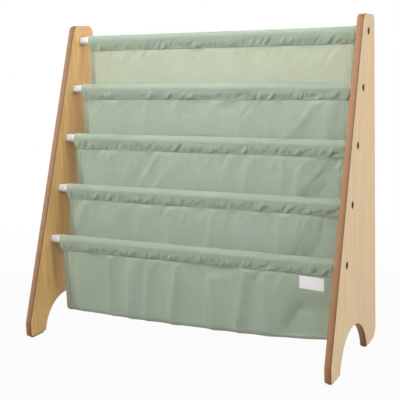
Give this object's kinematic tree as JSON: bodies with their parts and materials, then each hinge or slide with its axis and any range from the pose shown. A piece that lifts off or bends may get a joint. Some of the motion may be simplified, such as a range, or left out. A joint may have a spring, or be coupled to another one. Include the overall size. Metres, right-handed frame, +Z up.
{
  "type": "sling bookshelf",
  "caption": "Low child's bookshelf: plywood side panels joined by level white rods, with a green cloth sling hanging in stepped front-facing pockets.",
  "frame": {"origin": "on the floor below the middle of the outer box", "axes": "+X along the rods to the right hand panel, +Y to the rear, +Z up; the pockets open upwards and the sloped front faces -Y"},
  "size_m": [0.61, 0.255, 0.5925],
  "materials": {
    "plywood": "clear matt lacquer over a pale veneer, darker cut edges",
    "rod_coating": "white satin powder coating on steel tube",
    "insert_steel": "zinc plated",
    "bolt_steel": "dark bronze plating",
    "felt": "dense grey brown felt",
    "sling_cloth": "plain weave sage green cloth",
    "label_tape": "white woven tape, bare"
  },
  "bodies": {
    "root": {"side_panel_left": "plywood", "side_panel_right": "plywood", "rod_1": "rod_coating", "rod_2": "rod_coating", "rod_3": "rod_coating", "rod_4": "rod_coating", "rod_5": "rod_coating", "rod_insert_left_1": "insert_steel", "rod_insert_left_2": "insert_steel", "rod_insert_left_3": "insert_steel", "rod_insert_left_4": "insert_steel", "rod_insert_left_5": "insert_steel", "rod_insert_right_1": "insert_steel", "rod_insert_right_2": "insert_steel", "rod_insert_right_3": "insert_steel", "rod_insert_right_4": "insert_steel", "rod_insert_right_5": "insert_steel", "panel_bolt_left_1": "bolt_steel", "panel_bolt_left_2": "bolt_steel", "panel_bolt_left_3": "bolt_steel", "panel_bolt_left_4": "bolt_steel", "panel_bolt_left_5": "bolt_steel", "panel_bolt_right_1": "bolt_steel", "panel_bolt_right_2": "bolt_steel", "panel_bolt_right_3": "bolt_steel", "panel_bolt_right_4": "bolt_steel", "panel_bolt_right_5": "bolt_steel", "foot_pad_left_front": "felt", "foot_pad_left_rear": "felt", "foot_pad_right_front": "felt", "foot_pad_right_rear": "felt", "rod_casing_1": "sling_cloth", "rod_casing_2": "sling_cloth", "rod_casing_3": "sling_cloth", "rod_casing_4": "sling_cloth", "rod_casing_5": "sling_cloth", "pocket_1": "sling_cloth", "pocket_2": "sling_cloth", "pocket_3": "sling_cloth", "pocket_4": "sling_cloth", "sewn_label": "label_tape"}
  },
  "joints": []
}
